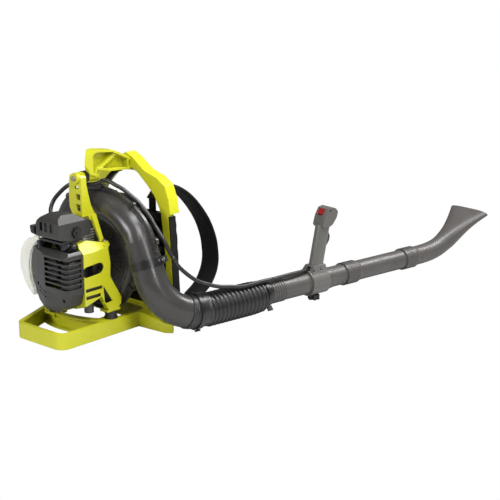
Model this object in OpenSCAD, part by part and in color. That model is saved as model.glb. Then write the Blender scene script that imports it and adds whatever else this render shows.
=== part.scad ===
// Backpack leaf blower: petrol engine, fan housing, carrying frame, harness and blower tube.
// Millimetres. +X runs forward along the blower tube, +Y is the wearer's left, +Z is up.
// The origin is on the floor, under the middle of the curved band of the foot frame.

/* [Foot frame] */
// height of the foot band
band_h = 40; // [36:1:44]
// wall thickness of the foot band
band_t = 6; // [4:1:8]
// how far the band's lips reach inward
lip_w = 12; // [10:1:14]

/* [Fan housing] */
// wall thickness of the fan housing
shell_t = 3; // [2:0.5:4]
// width of the joining flange around the housing
flange_w = 11; // [9:1:13]

/* [Hose and tubes] */
// outer radius of the swivelling elbow
elbow_r = 42; // [40:0.5:42]
// number of ribs on the flexible hose
ribs = 14; // [10:1:16]
// length of the second tube between its two sockets
tube_2_len = 243; // [180:1:300]
// centre of the control handle along the blower tube
handle_s = 393; // [370:1:405]

/* [Engine] */
// number of cooling fins on the cylinder
fins = 7; // [5:1:8]
// radius of the recoil pulley
pulley_r = 28; // [24:1:30]

/* [Harness] */
// width of the shoulder straps
strap_w = 60; // [50:1:64]
// thickness of the shoulder straps
strap_t = 13; // [10:1:16]

/* [Hidden] */
$fn = 48;
eps = 0.01;
axis_z = 188;
vol_x = 108;
vol_z = 187;
disc_r = 92;
out_x = 108;
out_y = -147;
out_z = 184;
tilt = 23;
yaw = 8;
drop = atan(tan(tilt) * sin(yaw));
bend = 90 - drop;
bend_r = 112;
neck = 36.7;
cuff = 18;
roll = asin(cos(yaw) * sin(tilt));
hose_end = 196;
joint_1 = 500;
joint_2 = joint_1 + tube_2_len;
gap = 0.05;

function clamp01(v) = min(1, max(0, v));
function unit(v) = v / norm(v);
function rev(v) = [for (i = [len(v) - 1:-1:0]) v[i]];

// ---- frames and extrusions ----
module along_x(x0, x1) {
  translate([x0, 0, 0]) rotate([90, 0, 90]) linear_extrude(height = x1 - x0) children();
}
module along_y(y0, y1) {
  translate([0, y1, 0]) rotate([90, 0, 0]) linear_extrude(height = y1 - y0) children();
}
module along_z(z0, z1) {
  translate([0, 0, z0]) linear_extrude(height = z1 - z0) children();
}
module rod_x(x0, x1, y, z, r) {
  translate([x0, y, z]) rotate([0, 90, 0]) cylinder(h = x1 - x0, r = r);
}
module rod_y(x, y0, y1, z, r) {
  translate([x, y1, z]) rotate([90, 0, 0]) cylinder(h = y1 - y0, r = r);
}
module rod_z(x, y, z0, z1, r) {
  translate([x, y, z0]) cylinder(h = z1 - z0, r = r);
}
module ring_x(x0, x1, y, z, r_in, r_out) {
  difference() {
    rod_x(x0, x1, y, z, r_out);
    rod_x(x0 - 1, x1 + 1, y, z, r_in);
  }
}
module soft(r) {
  offset(r = r, $fn = 24) offset(delta = -r) children();
}
// axis down the outlet, local -Z is the air's way out
module at_outlet() {
  translate([out_x, out_y, out_z]) rotate([-tilt, 0, 0]) children();
}
// local X along the hose, starting where the elbow ends
module at_hose() {
  at_outlet() rotate([0, 0, -yaw])
    translate([bend_r * (1 - cos(bend)), 0, -neck - bend_r * sin(bend)])
      rotate([0, drop, 0]) translate([cuff, 0, 0]) rotate([roll, 0, 0]) children();
}
// ring-shaped piece around the hose axis from a half section (x = station, y = radius)
module turned(pts) {
  at_hose() rotate([0, 90, 0]) rotate_extrude($fn = 72) polygon([for (p = pts) [p[1], p[0]]]);
}
module pipe(s0, s1, r_in, r_out) {
  turned([[s0, r_in], [s1, r_in], [s1, r_out], [s0, r_out]]);
}

// ---- lofts through closed loops of points ----
function side_faces(n, m) = concat(
  [for (i = [0:m - 2]) for (j = [0:n - 1]) [i * n + j, i * n + (j + 1) % n, (i + 1) * n + j]],
  [for (i = [0:m - 2]) for (j = [0:n - 1])
    [i * n + (j + 1) % n, (i + 1) * n + (j + 1) % n, (i + 1) * n + j]]);
function middle(l) = [for (c = [0:2]) min([for (v = l) v[c]]) / 2 + max([for (v = l) v[c]]) / 2];
// solid loft: each end is closed by a fan around its middle
module loft(loops) {
  n = len(loops[0]);
  m = len(loops);
  e = (m - 1) * n;
  pts = concat([for (l = loops) each l], [middle(loops[0]), middle(loops[m - 1])]);
  caps = [for (j = [0:n - 1]) each [[(j + 1) % n, j, m * n], [e + j, e + (j + 1) % n, m * n + 1]]];
  polyhedron(points = pts, faces = concat(side_faces(n, m), caps));
}
// wall loft: each loop runs along one face of the wall and back along the other
module wall_loft(loops) {
  n = len(loops[0]);
  m = len(loops);
  e = (m - 1) * n;
  h = n / 2;
  caps = [for (j = [0:h - 2]) each [[j + 1, j, n - 1 - j], [j + 1, n - 1 - j, n - 2 - j],
    [e + j, e + j + 1, e + n - 1 - j], [e + n - 1 - j, e + j + 1, e + n - 2 - j]]];
  polyhedron(points = [for (l = loops) each l], faces = concat(side_faces(n, m), caps));
}
// tangent of a path at point i
function way(p, i) = unit(p[min(i + 1, len(p) - 1)] - p[max(i - 1, 0)]);
// round cord of radius r along path p
function cord_loops(p, r, n) = [for (i = [0:len(p) - 1]) let (
  t = way(p, i),
  a = unit(cross(t, abs(t[2]) > 0.9 ? [1, 0, 0] : [0, 0, 1])),
  b = cross(t, a)) [for (k = [0:n - 1]) p[i] + r * (cos(360 * k / n) * a - sin(360 * k / n) * b)]];
// smooth curve through hand-set points
function spline_at(p, i, u) = let (
  a = p[max(i - 1, 0)], b = p[i], c = p[i + 1], d = p[min(i + 2, len(p) - 1)])
  0.5 * (2 * b + (c - a) * u + (2 * a - 5 * b + 4 * c - d) * u * u
    + (3 * b - a - 3 * c + d) * u * u * u);
function spline(p, k) = concat(
  [for (i = [0:len(p) - 2]) for (j = [0:k - 1]) spline_at(p, i, j / k)], [p[len(p) - 1]]);

// ---- foot frame ----
module foot_outline() {
  soft(27) polygon([[-121, -83], [185, -83], [185, 192], [125, 192], [-121, 88]]);
}
module cross_ring(r0, r1) {
  intersection() {
    translate([213.4, 55.9]) difference() {
      circle(r = r1, $fn = 96);
      circle(r = r0, $fn = 96);
    }
    offset(delta = -3) foot_outline();
  }
}
module foot() {
  intersection() {
    along_z(0, band_h) polygon([[138, -80], [144, -172], [156, -190], [172, -176], [186, -120], [186, -80]]);
    along_x(130, 190) polygon([[-200, 0], [-200, 14], [-190, 22], [-150, 31], [-92, band_h], [-70, band_h],
      [-70, 0]]);
  }
}
module base_frame() color([0.80, 0.83, 0.12]) difference() {
  union() {
    along_z(0, band_h) difference() {
      foot_outline();
      offset(delta = -band_t) foot_outline();
    }
    for (z = [0, band_h - 5]) along_z(z, z + 5) difference() {
      foot_outline();
      offset(delta = -lip_w) foot_outline();
    }
    along_z(0, band_h) cross_ring(206, 206 + band_t);
    for (z = [0, band_h - 5]) along_z(z, z + 5) cross_ring(206, 226);
    foot();
    along_z(0, 22) polygon([[128, 150], [128, 186], [146, 186], [158, 194], [186, 176], [186, 150]]);
    along_z(band_h - 5, band_h) polygon([[36, -80], [36, -46], [80, -46], [80, -80]]);
    along_z(band_h - 5, band_h) polygon([[-16, 66], [-16, 106], [26, 106], [26, 66]]);
  }
  rod_z(58, -66, 20, 50, 4);
  rod_z(6, 86, 20, 50, 4);
  rod_z(6, 86, 27, 35, 8);
  for (y = [-60, 60]) rod_x(170, 190, y, 26, 3.5);
  for (y = [-150, 160]) rod_x(150, 190, y, 10, 3.5);
}

// ---- back frame with grab arch and hanger beam ----
module arch_half() {
  polygon([[2, 441], [-22, 431], [-67, 400], [-109, 388], [-137, 370], [-151, 335], [-156, 299],
    [-121, 299], [-119, 309], [-100, 341], [-73, 367], [-43, 392], [-20, 402], [2, 402]]);
}
module rail_half() {
  polygon([[-122, 312], [-147, 312], [-154, 219], [-160, 114], [-166, 12], [-147, 12], [-141, 114], [-134, 219],
    [-124, 296]]);
}
module hanger_side() {
  polygon([[30, 430], [44, 446], [66, 459], [78, 462], [128, 456], [150, 447], [181, 432], [219, 418], [219, 388],
    [190, 396], [172, 399], [116, 403], [90, 409], [76, 412], [70, 397], [52, 402], [46, 414], [38, 424]]);
}
module back_frame() color([0.80, 0.83, 0.12]) difference() {
  union() {
    difference() {
      along_x(186, 219) union() {
        arch_half();
        mirror([1, 0]) arch_half();
      }
      along_x(192, 220) offset(delta = -6) union() {
        arch_half();
        mirror([1, 0]) arch_half();
      }
    }
    along_x(186, 206) union() {
      rail_half();
      mirror([1, 0]) rail_half();
      translate([-160, 12]) square([320, 28]);
    }
    difference() {
      along_y(-14, 22) hanger_side();
      for (y = [-15, 14]) along_y(y, y < 0 ? 8 : 23) intersection() {
        offset(delta = -6) hanger_side();
        translate([62, 380]) square([116, 90]);
      }
      along_y(-15, -9) polygon([[182, 423], [182, 407], [212, 396], [212, 412]]);
      along_z(380, 470) polygon([[20, -15], [31.9, -15], [73.7, 23], [20, 23]]);
    }
    along_y(-10, 10) polygon([[77, 411], [87, 409], [146, 442], [138, 449]]);
    rod_x(52, 85, 5, 397, 15);
  }
  rod_x(20, 52, 5, 397, 16.5);
  rod_x(30, 120, 5, 397, 4);
  for (y = [-60, 60, -150, 160]) rod_x(180, 210, y, abs(y) > 100 ? 10 : 26, 3.5);
  for (y = [-110, 110]) rod_x(180, 210, y, 26, 3.5);
}

// three rubber mounts: two under the engine, one behind the top arm
module rubber_isolators() color([0.12, 0.12, 0.12]) {
  for (p = [[58, -66], [6, 86]]) difference() {
    union() {
      rod_z(p[0], p[1], band_h, 45, 17);
      rod_z(p[0], p[1], 45, 55, 15);
      rod_z(p[0], p[1], 55, 60, 17);
    }
    rod_z(p[0], p[1], 30, 70, 4);
  }
  ring_x(40, 52, 5, 397, 4, 15);
}
module isolator_bolt(z0, z1) {
  rod_z(0, 0, z0, z1, 3.5);
  rod_z(0, 0, z0 - 5, z0, 6.5);
  translate([0, 0, z1]) cylinder(h = 5, r = 6.5, $fn = 6);
}
module frame_bolts() color([0.55, 0.55, 0.57]) {
  translate([58, -66, 0]) isolator_bolt(35, 66);
  translate([6, 86, 0]) isolator_bolt(35, 66);
  translate([0, 5, 397]) rotate([0, 90, 0]) isolator_bolt(14, 85);
  for (y = [-60, 60, -150, 160]) {
    rod_x(abs(y) > 100 ? 160 : 179, 206, y, abs(y) > 100 ? 10 : 26, 3.2);
    rod_x(206, 210, y, abs(y) > 100 ? 10 : 26, 6);
  }
}

// ---- back panel, pads and harness ----
module panel_side() {
  polygon([[-148.9, 291.5], [-152, 291.5], [-157.4, 219], [-163.4, 114], [-166.4, 66], [-163.3, 66], [-160.4, 114],
    [-154.4, 219]]);
}
module back_panel() color([0.10, 0.10, 0.10]) {
  difference() {
    along_x(206.5, 209.5) polygon([[-166.4, 66], [-163.4, 114], [-157.4, 219], [-152, 291.5], [152, 291.5],
      [157.4, 219], [163.4, 114], [166.4, 66]]);
    for (k = [0:7]) for (y = [-126, -62, 8, 72]) translate([200, y, 72 + 26 * k]) cube([20, 54, 15]);
  }
  along_x(187, 206.2) panel_side();
  along_x(187, 206.2) mirror([1, 0]) panel_side();
}
// rounded slab whose front face is crowned and carries sewn channels
spread = 0.045;
function pad_loop(z, z0, z1, hw, x0, th, ch) = let (
  v = (z - z0) / (z1 - z0),
  e = pow(max(0, 1 - pow(abs(2 * v - 1), 6)), 0.5),
  seam = max([for (c = ch) exp(-pow((z - c) / 4, 2))]),
  w = (hw + (z1 - z) * spread) * (0.95 + 0.05 * e),
  f = th * (0.30 + 0.70 * e) * (1 - 0.28 * seam))
  concat(
    [[x0, -w * 0.98, z], [x0, w * 0.98, z]],
    [for (k = [0:12]) let (q = 1 - k / 6)
      [x0 + f * (0.25 + 0.75 * pow(max(0, 1 - pow(abs(q), 4)), 0.5) * (0.86 + 0.14 * q * q)), w * q, z]]);
module pad(z0, z1, hw, x0, th, ch) {
  loft([for (i = [0:26]) let (z = z0 + (z1 - z0) * (0.5 - 0.5 * cos(180 * i / 26)))
    pad_loop(z, z0, z1, hw, x0, th, ch)]);
}
module back_pad() color([0.08, 0.08, 0.08]) pad(74, 294, 149, 210, 32, [118, 162, 206, 250]);
module lumbar_pad() color([0.08, 0.08, 0.08]) pad(14, 71, 158, 210, 40, [42]);

strap_path = [[216, 0, 322], [240, 0, 343], [268, 0, 349], [310, 0, 327], [351, 0, 290], [390, 0, 240],
  [414, 0, 189], [422, 0, 150], [423, 0, 118], [413, 0, 86], [389, 0, 55], [350, 0, 32]];
left_path = [[216, 0, 303], [238, 0, 309], [262, 0, 297], [292, 0, 266], [320, 0, 228], [338, 0, 186],
  [344, 0, 146], [341, 0, 112], [340, 0, 84], [344, 0, 58], [349, 0, 36]];
function strap_loops(path, y, w, t) = let (p = spline(path, 2))
  [for (i = [0:len(p) - 1]) let (
    d = way(p, i), nn = [-d[2], 0, d[0]],
    k = min(1, 0.55 + 0.45 * min(i, len(p) - 1 - i) / 2),
    h = w / 2, g = t / 2 * k)
    [for (q = [[-1, 0], [-0.93, 0.8], [-0.5, 0.96], [0, 1], [0.5, 0.96], [0.93, 0.8], [1, 0],
      [0.93, -0.8], [0.5, -0.96], [0, -1], [-0.5, -0.96], [-0.93, -0.8]])
      p[i] + [0, y + h * q[0], 0] + nn * g * q[1]]];
module shoulder_straps() color([0.08, 0.08, 0.08]) {
  loft(strap_loops(strap_path, -72, strap_w, strap_t));
  loft(strap_loops(left_path, 72, strap_w, strap_t));
}
web_path = [[352, 0, 31], [330, 0, 20], [300, 0, 10], [272, 0, 7], [240, 0, 8], [214, 0, 12]];
module webbing() color([0.07, 0.07, 0.07]) {
  for (y = [-72, 72]) {
    loft(strap_loops([for (p = web_path) p + [-8, 0, -1]], y, 26, 3));
    translate([205.5, y - 13, 292]) cube([3, 26, 36]);
  }
  // short carrying loop under the hanger beam
  along_y(-12, 10) polygon([[160, 395], [163, 399], [150, 400], [136, 394], [122, 384], [116, 375], [119, 373.5],
    [125, 381.5], [138, 391], [150, 396]]);
}
module buckles() color([0.10, 0.10, 0.10]) {
  for (y = [-72, 72]) translate([329.1, y, 19.6]) rotate([0, -24.75, 0]) difference() {
    translate([-16, -19, 5]) cube([32, 38, 6]);
    translate([-9, -14, 0]) cube([6, 28, 20]);
    translate([3, -14, 0]) cube([6, 28, 20]);
  }
}

// ---- engine arm ----
module arm() color([0.80, 0.83, 0.12]) difference() {
  union() {
    difference() {
      intersection() {
        along_y(-13, 34) polygon([[20, 404], [38, 404], [38, 380], [43, 356], [50, 328], [62, 304], [68, 290],
          [47, 288], [40, 300], [20, 300]]);
        along_x(10, 80) polygon([[-13, 280], [-13, 399], [-8, 404], [27, 404], [30, 397], [34, 356], [33, 322],
          [26, 308], [18, 301], [18, 280]]);
      }
      along_y(-8, 28) polygon([[25, 398], [60, 398], [80, 312], [80, 304], [25, 304]]);
    }
    rod_x(14, 40, 5, 397, 14);
    for (p = [[-13, -47], [13, 46]]) hull() {
      translate([50, p[0], 294]) cube([16, 6, 8]);
      translate([47.5, p[1], 236]) cube([12, 5, 4]);
    }
    translate([46, -62, 236]) cube([14, 20, 4]);
    translate([46, 46, 236]) cube([14, 18, 4]);
  }
  translate([0, -8, 342]) cube([80, 16, 15]);
  translate([0, -8, 313]) cube([80, 16, 18]);
  translate([0, -3, 370]) cube([80, 14, 7]);
  rod_x(0, 50, 5, 397, 4);
  for (y = [-55, 58]) rod_z(53, y, 230, 260, 2.7);
}

// ---- fan housing ----
// outer wall radius of the scroll at angle a (0 at the right, growing clockwise seen from the rear)
function wall_r(a) = 112 + 64 * sin(90 * clamp01((a - 40) / 180))
  + (a > 148 ? 12 * cos(2 * (a - 193)) * (1 - clamp01((a - 315) / 22)) : 0);
function depth(a) = 20 + 21.7 * clamp01((a - 10) / 327);
function vol_pt(a, r, x) = [x, -r * cos(a), vol_z - r * sin(a)];
function section(a, s, off) = let (
  ro = wall_r(a), w = (ro - disc_r) / 2, rc = ro - w, d = depth(a), f = 18)
  concat(
    [for (i = [0:6]) vol_pt(a, rc + (w - off) * cos(15 * i), vol_x + s * (d - off) * sin(15 * i))],
    [for (i = [1:5]) let (u = i / 5)
      vol_pt(a, rc - (rc - disc_r + 1) * u, vol_x + s * (d - off - (d - f) * (1 - cos(180 * u)) / 2))],
    [vol_pt(a, 84, vol_x + s * (f - off))]);
function vol_loops(s) = [for (i = [0:30]) let (a = 10 + 327 * i / 30)
  s > 0 ? concat(section(a, s, 0), rev(section(a, s, shell_t)))
        : rev(concat(section(a, s, 0), rev(section(a, s, shell_t))))];
function rim(r, a0, a1, k) = [for (i = [0:k]) let (a = a0 + (a1 - a0) * i / k)
  [-(wall_r(a) + r) * cos(a), vol_z - (wall_r(a) + r) * sin(a)]];
// 2D helper: strip along the outlet duct, n measured from the shaft axis, t along the duct
module duct_strip(n0, n1, t0, t1) {
  translate([0, vol_z]) rotate(-tilt) translate([-n1, -t1]) square([n1 - n0, t1 - t0]);
}
module tongue() {
  polygon([[0, vol_z], [-96 * cos(-23), vol_z - 96 * sin(-23)], [-110 * cos(6), vol_z - 110 * sin(6)],
    [-113 * cos(13), vol_z - 113 * sin(13)]]);
}
module inside_2d() {
  union() {
    polygon(concat([[0, vol_z]], rim(-1, 10, 337, 60)));
    circle_at(93);
    tongue();
    duct_strip(134.2 - 40.7, 134.2 + 40.7, -6, 48);
  }
}
module circle_at(r) {
  translate([0, vol_z]) circle(r = r, $fn = 96);
}
ears = [38, 80, 128, 176, 224, 268, 306];
module flange_2d() {
  difference() {
    union() {
      polygon(concat([[0, vol_z]], rim(flange_w, 22, 337, 60)));
      duct_strip(134.2, 134.2 + 41.7 + flange_w, -8, 40);
      for (a = ears) translate([-(wall_r(a) + 8) * cos(a), vol_z - (wall_r(a) + 8) * sin(a)]) circle(r = 9);
      translate([0, vol_z]) rotate(-tilt) translate([-190, -14]) circle(r = 10);
    }
    inside_2d();
    for (a = ears) translate([-(wall_r(a) + 9) * cos(a), vol_z - (wall_r(a) + 9) * sin(a)]) circle(r = 2.75);
    translate([0, vol_z]) rotate(-tilt) translate([-191, -14]) circle(r = 2.75);
  }
}
module duct(x0, x1) {
  intersection() {
    at_outlet() difference() {
      translate([0, 0, 0.3]) cylinder(h = 60, r = 41.7, $fn = 72);
      translate([0, 0, -1]) cylinder(h = 64, r = 41.7 - shell_t, $fn = 72);
    }
    translate([x0, -400, 0]) cube([x1 - x0, 400, 420]);
  }
}
module outlet_gap() at_outlet() translate([0, 0, -60]) cylinder(h = 70.3, r = 45.4, $fn = 72);
module volute_rear() color([0.30, 0.29, 0.28]) difference() {
  union() {
    difference() {
      union() {
        wall_loft(vol_loops(-1));
        rod_x(89.5, 93.5, 0, vol_z, disc_r);
        along_x(89.5, 93.5) tongue();
        along_x(vol_x - 4, vol_x) flange_2d();
      }
      outlet_gap();
    }
    duct(20, vol_x);
    ring_x(44, 90, 0, axis_z, 33, 38);
    for (a = [18:36:342]) translate([0, 0, vol_z]) rotate([-a, 0, 0]) translate([86.5, 40, -1.5]) cube([3.5, 40, 3]);
  }
  rod_x(80, 100, 0, axis_z, 10);
}
module volute_front() color([0.30, 0.29, 0.28]) difference() {
  union() {
    difference() {
      union() {
        wall_loft(vol_loops(1));
        along_x(vol_x, vol_x + 4) flange_2d();
        along_x(122.5, 126.5) tongue();
        rod_x(122.5, 126.5, 0, vol_z, disc_r);
      }
      outlet_gap();
    }
    duct(vol_x, 200);
    rod_x(122.5, 148, 0, vol_z, 68);
  }
  rod_x(120, 150, 0, vol_z, 62.7);
}
module intake_grille() color([0.12, 0.12, 0.12]) {
  ring_x(142, 146, 0, vol_z, 59, 62.6);
  ring_x(142, 146, 0, vol_z, 36, 38.5);
  rod_x(142, 146, 0, vol_z, 12);
  for (a = [0:45:135]) translate([142.5, 0, vol_z]) rotate([a, 0, 0]) translate([0, -60, -1.5]) cube([3, 120, 3]);
}
module vol_bolt() {
  rod_x(vol_x - 8.5, vol_x - 4, 0, 0, 4.6);
  rod_x(vol_x - 4, vol_x + 4, 0, 0, 2.5);
  translate([vol_x + 4, 0, 0]) rotate([0, 90, 0]) cylinder(h = 4, r = 4.8, $fn = 6);
}
module volute_bolts() color([0.55, 0.55, 0.57]) {
  for (a = ears) translate([0, -(wall_r(a) + 9) * cos(a), vol_z - (wall_r(a) + 9) * sin(a)]) vol_bolt();
  translate([0, 0, vol_z]) rotate([-tilt, 0, 0]) translate([0, -191, -14]) vol_bolt();
}
module outlet_collar() color([0.12, 0.12, 0.12]) at_outlet() difference() {
  union() {
    translate([0, 0, -10]) cylinder(h = 20, r = 45, $fn = 72);
    rotate([0, 0, -62]) translate([40, -7, -8]) cube([16, 14, 16]);
  }
  translate([0, 0, -0.2]) cylinder(h = 12, r = 41.75, $fn = 72);
  translate([0, 0, -11]) cylinder(h = 11, r = elbow_r + gap, $fn = 72);
  rotate([0, 0, -62]) translate([40, -1.2, -9]) cube([20, 2.4, 18]);
  rotate([0, 0, -62]) translate([51, -10, 0]) rotate([-90, 0, 0]) cylinder(h = 20, r = 2.4);
}
module collar_screw() color([0.75, 0.75, 0.76]) at_outlet() rotate([0, 0, -62]) {
  translate([51, -11, 0]) rotate([-90, 0, 0]) cylinder(h = 20, r = 2.2);
  translate([51, -11, 0]) rotate([-90, 0, 0]) cylinder(h = 4, r = 4.4);
  translate([51, 7, 0]) rotate([-90, 0, 0]) cylinder(h = 4, r = 4.6, $fn = 6);
}

// ---- engine cowling (shroud) and starter cover ----
module shroud() color([0.80, 0.83, 0.12]) difference() {
  union() {
    along_y(-78, -75) soft(3) polygon([[-36, 222], [44, 231], [51, 189], [49, 153], [85, 92], [83, 74], [72, 66],
      [42, 66], [19, 107], [-36, 91]]);
    intersection() {
      along_x(-36, 46) polygon([[-78, 218], [-78, 226], [-48, 250], [-40, 250], [-40, 247], [-47, 247],
        [-75, 224], [-75, 218]]);
      along_y(-79, -30) polygon([[-36, 210], [44, 210], [46, 236], [58, 236], [0, 250], [-36, 250]]);
    }
    along_y(-78, -56) polygon([[36, 224], [44, 224], [46, 228], [46, 236], [36, 236]]);
    along_y(-66, -38) polygon([[36, 228], [60, 228], [60, 236], [36, 236]]);
    along_y(42, 69) polygon([[36, 212], [44, 212], [44, 228], [62, 228], [62, 236], [36, 236]]);
    along_x(-36, -33) difference() {
      soft(10) polygon([[-78, 91], [-78, 222], [-48, 248], [50, 248], [69, 220], [69, 112], [40, 78], [-40, 80]]);
      translate([0, axis_z]) circle(r = 56, $fn = 72);
    }
    along_y(66, 69) polygon([[-36, 112], [-36, 220], [44, 226], [46, 120], [30, 66], [-16, 66]]);
    along_z(60, 66) polygon([[36, -78], [36, -50], [80, -50], [80, -78]]);
    along_z(60, 66) polygon([[-14, 66], [-14, 105], [26, 105], [26, 66]]);
    along_y(-78, -58) polygon([[72, 66], [83, 74], [85, 92], [80, 100], [76, 90], [74, 76], [66, 66]]);
    along_y(-78, -62) polygon([[42, 66], [48, 66], [28, 104], [19, 107]]);
  }
  along_y(-90, -70) hull() {
    translate([14, 182]) circle(r = 14);
    translate([-26, 179]) circle(r = 14);
  }
  along_y(-90, -70) polygon([[25, 134], [55, 88], [29, 84]]);
  translate([-32, -90, 127.5]) cube([54, 20, 9]);
  translate([-32, -90, 108.5]) cube([48, 20, 9]);
  translate([-37, -58, 221]) cube([5, 90, 40]);
  rod_z(58, -66, 50, 70, 4);
  rod_z(6, 86, 50, 70, 4);
  for (y = [-55, 58]) rod_z(53, y, 220, 240, 2.7);
  for (p = [[-60, 116], [-60, 214], [48, 140], [44, 232]]) rod_x(-40, -30, p[0], p[1], 2.2);
}
module cover_rear_2d(t) {
  offset(delta = -t) soft(8) polygon([[-75, 128], [-75, 226], [-52, 248], [0, 256], [40, 251], [62, 232], [79, 208],
    [79, 180], [62, 120], [44, 98], [10, 82], [-33, 80], [-64, 98]]);
}
module cover_side_2d(t) {
  offset(delta = -t) polygon([[-82, 74], [-88, 100], [-88, 222], [-62, 248], [-36 + 2 * t, 248], [-36 + 2 * t, 74]]);
}
module cover_top_2d(t) {
  offset(delta = -t) polygon([[-88, -66], [-80, -77], [-36 + 2 * t, -77], [-36 + 2 * t, 81], [-70, 79], [-88, 10]]);
}
module cover_body(t) {
  intersection() {
    along_x(-90, -36 + t) cover_rear_2d(t);
    along_y(-90, 90) cover_side_2d(t);
    along_z(60, 270) cover_top_2d(t);
  }
}
module starter_cover() color([0.30, 0.29, 0.28]) difference() {
  union() {
    difference() {
      cover_body(0);
      cover_body(3);
      translate([-74, -66, 229]) cube([50, 100, 40]);
    }
    rod_x(-86.5, -66, 0, axis_z, 6);
    translate([-73, 39.4, 232]) rotate([-11, 0, 0]) cylinder(h = 19, r = 6.5);
    intersection() {
      cover_body(0);
      union() {
        for (p = [[-60, 116], [-60, 214], [44, 232]]) rod_x(-87, -36, p[0], p[1], 5.6);
        rod_x(-87, -36, 48, 140, 5.6);
      }
    }
  }
  for (k = [0:5]) translate([-95, -71.5, 143 + 13 * k]) cube([14, 81.5, 9]);
  for (k = [0:5]) translate([-86, -95, 143 + 13 * k]) cube([44, 23.8, 9]);
  for (k = [0:3]) for (j = [0, 1]) translate([-95, 8 + 9 * k, 112 + 11 * j + 3 * k]) cube([30, 6, 4]);
  for (p = [[-60, 116], [-60, 214], [44, 232]]) rod_x(-90, -30, p[0], p[1], 2.2);
  for (p = [[-60, 116], [-60, 214], [44, 232]]) rod_x(-95, -72, p[0], p[1], 4.6);
  rod_x(-90, -30, 48, 140, 2.2);
  rod_x(-95, -55, 48, 140, 4.6);
  translate([-73, 38.6, 228]) rotate([-11, 0, 0]) cylinder(h = 40, r = 4);
}
module cover_screws() color([0.55, 0.55, 0.57]) {
  for (p = [[-60, 116], [-60, 214], [44, 232]]) {
    rod_x(-72, -34, p[0], p[1], 2);
    rod_x(-75, -72, p[0], p[1], 4);
  }
  rod_x(-55, -34, 48, 140, 2);
  rod_x(-58, -55, 48, 140, 4);
  for (y = [-55, 58]) {
    rod_z(53, y, 226, 240, 2.5);
    rod_z(53, y, 240, 244, 5);
  }
}
module ignition_coil() color([0.16, 0.16, 0.17]) {
  translate([-58, -62, 170]) cube([18, 14, 30]);
  translate([-56, -64, 174]) cube([14, 2, 22]);
}

// ---- engine ----
module crankcase() color([0.62, 0.62, 0.63]) difference() {
  union() {
    rod_x(-10, 44, 0, axis_z, 34);
    rod_x(-33, -10, 0, axis_z, 20);
    translate([-14, -27, 216]) cube([56, 54, 6]);
    translate([-10, -34, 150]) cube([54, 68, 20]);
  }
  rod_x(-5, 39, 0, axis_z, 29);
  rod_x(-40, 50, 0, axis_z, 9);
  rod_z(17, 0, 200, 230, 17 + gap);
  rod_x(-34, -12, 0, axis_z, 12);
}
module cylinder_block() color([0.66, 0.66, 0.67]) difference() {
  union() {
    rod_z(17, 0, 222, 280, 22);
    for (k = [0:fins - 1]) translate([-11, -28, 226 + k * 48 / fins]) cube([56, 56, 2.5]);
    translate([-12, -27, 222]) cube([56, 54, 3]);
    translate([8, -44, 226]) cube([18, 20, 18]);
    translate([-14, -11, 228]) cube([12, 22, 20]);
  }
  rod_z(17, 0, 200, 274, 17 + gap);
  translate([-20, -7, 232]) cube([18, 14, 12]);
  translate([10, -50, 230]) cube([14, 24, 10]);
  rod_z(17, 0, 270, 290, 5);
}
module spark_plug() color([0.15, 0.15, 0.15]) {
  rod_z(17, 0, 275, 284, 4.9);
  rod_z(17, 0, 284, 290, 7);
  translate([17, 0, 290]) sphere(r = 9);
  translate([17, 0, 291]) rotate([-90, 0, 0]) cylinder(h = 26, r = 7);
}
module muffler() color([0.45, 0.43, 0.42]) difference() {
  union() {
    translate([-26, -72, 108]) cube([66, 34, 48]);
    rod_z(-9, -60, 70, 109, 12);
    translate([8, -60, 155]) cube([18, 16, 79]);
    translate([8, -50, 226]) cube([18, 6, 18]);
  }
  translate([-23, -69, 111]) cube([60, 28, 42]);
  rod_z(-9, -60, 60, 112, 9.5);
  translate([11, -57, 150]) cube([12, 10, 81]);
  translate([11, -52, 226.5]) cube([12, 20, 10]);
}
module carburettor() color([0.40, 0.40, 0.41]) difference() {
  union() {
    translate([-42, -24, 230]) cube([28, 38, 27]);
    translate([-52, -24, 233.5]) cube([12, 38, 23.5]);
    translate([-84, -53, 256]) cube([69, 79, 5]);
    rod_z(-26.5, -5, 217, 231, 11.5);
    translate([-60, -54.3, 233]) cube([22, 32.3, 24]);
  }
  rod_x(-60, 0, 0, 238, 6);
  rod_z(-46, -6, 238, 270, 4.5);
  rod_y(-30, -30, -10, 236, 2.5);
  rod_y(-50, -60, -46, 245, 3.05);
}
module throttle_lever() color([0.70, 0.70, 0.72]) {
  rod_y(-30, -30, -12, 236, 2.45);
  difference() {
    along_y(-33, -30) hull() {
      translate([-30, 236]) circle(r = 5);
      translate([-18, 229]) circle(r = 3.5);
    }
    rod_y(-18, -40, -20, 229, 1.2);
  }
}
module choke_lever() color([0.12, 0.12, 0.12]) {
  rod_x(-66, -60.3, -40, 240, 4);
  along_x(-70, -66) hull() {
    translate([-40, 240]) circle(r = 5);
    translate([-58, 250]) circle(r = 4);
  }
}
module primer_bulb() color([0.14, 0.14, 0.14]) {
  rod_y(-50, -57, -49, 245, 3);
  rod_y(-50, -58.3, -56.3, 245, 9.5);
  intersection() {
    translate([-50, -58.3, 245]) sphere(r = 8);
    translate([-70, -80, 230]) cube([40, 21.9, 30]);
  }
}
module filter_element() color([0.20, 0.20, 0.20]) difference() {
  translate([-76, -42, 272]) cube([60, 58, 34]);
  translate([-69, -35, 268]) cube([46, 44, 31]);
}
module filter_side_2d(t) {
  offset(delta = -t) soft(4) polygon([[-92, 268], [-62, 261.3], [-20, 262], [6, 270], [10, 285], [4, 300],
    [-16, 314], [-30, 322], [-66, 324], [-84, 316], [-92, 308]]);
}
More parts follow.
